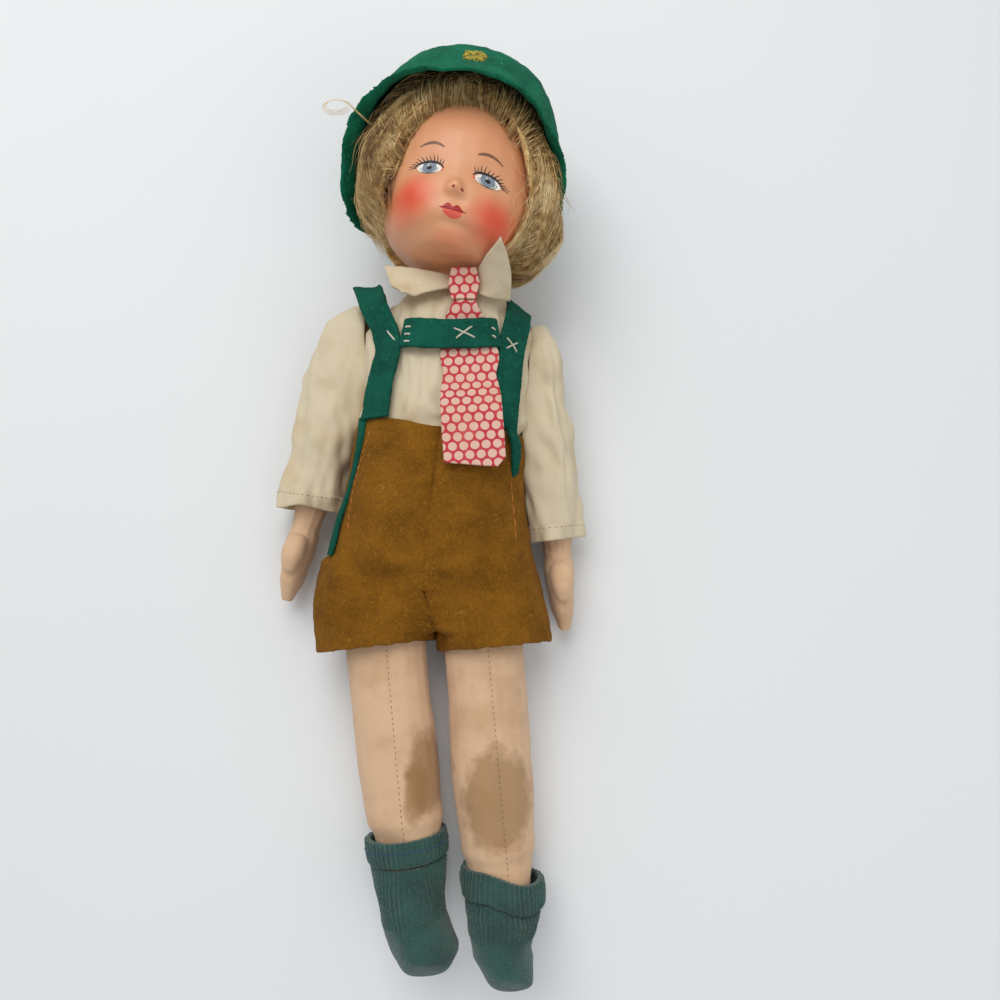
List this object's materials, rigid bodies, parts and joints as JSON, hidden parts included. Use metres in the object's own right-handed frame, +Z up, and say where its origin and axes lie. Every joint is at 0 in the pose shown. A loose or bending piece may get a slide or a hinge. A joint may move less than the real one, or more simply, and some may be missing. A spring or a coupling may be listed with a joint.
{
  "type": "cloth doll",
  "caption": "Dressed cloth doll lying on its back, with a painted head that turns, a wig, a lift-off felt hat, sewn limbs that swing, and a shirt, tie, shorts and socks.",
  "frame": {"origin": "on the surface the doll lies on, under the middle of its overall box", "axes": "+Z up out of the chest and face, +Y towards the head, +X towards the doll's left side"},
  "size_m": [0.1326, 0.3596, 0.0851],
  "materials": {
    "body_cloth": "matte woven cotton, stained",
    "painted_composition": "satin paint over pressed composition",
    "mohair": "soft hair",
    "green_felt": "fuzzy felt",
    "brown_felt": "fuzzy felt",
    "cotton": "aged plain cotton",
    "printed_cotton": "red cotton printed with pale dots",
    "knit": "ribbed knit",
    "white_thread": "cotton thread",
    "yellow_thread": "worn embroidery"
  },
  "bodies": {
    "torso": {"torso": "body_cloth", "shirt_body": "cotton", "collar_band": "cotton", "collar_right_wing": "cotton", "collar_left_wing": "cotton", "tie_knot": "printed_cotton", "tie_blade": "printed_cotton", "right_strap": "green_felt", "left_strap": "green_felt", "chest_bar": "green_felt", "bar_cross_stitch": "white_thread", "shorts_right_half": "brown_felt", "shorts_left_half": "brown_felt", "right_pocket_strip": "green_felt", "left_pocket_strip": "green_felt"},
    "head": {"head": "painted_composition", "wig": "mohair"},
    "hat": {"hat": "green_felt", "hat_badge": "yellow_thread"},
    "right_arm": {"right_arm": "body_cloth", "right_thumb": "body_cloth", "right_sleeve": "cotton", "right_cuff": "cotton"},
    "left_arm": {"left_arm": "body_cloth", "left_thumb": "body_cloth", "left_sleeve": "cotton", "left_cuff": "cotton"},
    "right_leg": {"right_leg": "body_cloth", "right_sock": "knit", "right_sock_cuff": "knit"},
    "left_leg": {"left_leg": "body_cloth", "left_sock": "knit", "left_sock_cuff": "knit"}
  },
  "joints": [
    {"name": "head_turn", "type": "hinge", "parent": "torso", "child": "head", "pos_m": [0.00575, 0.0781, 0.027], "axis": [0, 1, 0], "range_deg": [-30, 30]},
    {"name": "hat_lift", "type": "slide", "parent": "head", "child": "hat", "axis": [0.1368, 0.8639, -0.4848], "range_m": [0, 0.06]},
    {"name": "right_shoulder", "type": "hinge", "parent": "torso", "child": "right_arm", "pos_m": [-0.03507, 0.0634, 0.024], "axis": [-1, 0, 0], "range_deg": [-30, 120]},
    {"name": "left_shoulder", "type": "hinge", "parent": "torso", "child": "left_arm", "pos_m": [0.04473, 0.0544, 0.024], "axis": [-1, 0, 0], "range_deg": [-30, 120]},
    {"name": "right_hip", "type": "hinge", "parent": "torso", "child": "right_leg", "pos_m": [-0.02225, -0.03777, 0.022], "axis": [-1, 0, 0], "range_deg": [-15, 95], "deforming": ["shorts_right_half"]},
    {"name": "left_hip", "type": "hinge", "parent": "torso", "child": "left_leg", "pos_m": [0.01625, -0.03777, 0.022], "axis": [-1, 0, 0], "range_deg": [-15, 95], "deforming": ["shorts_left_half"]}
  ]
}
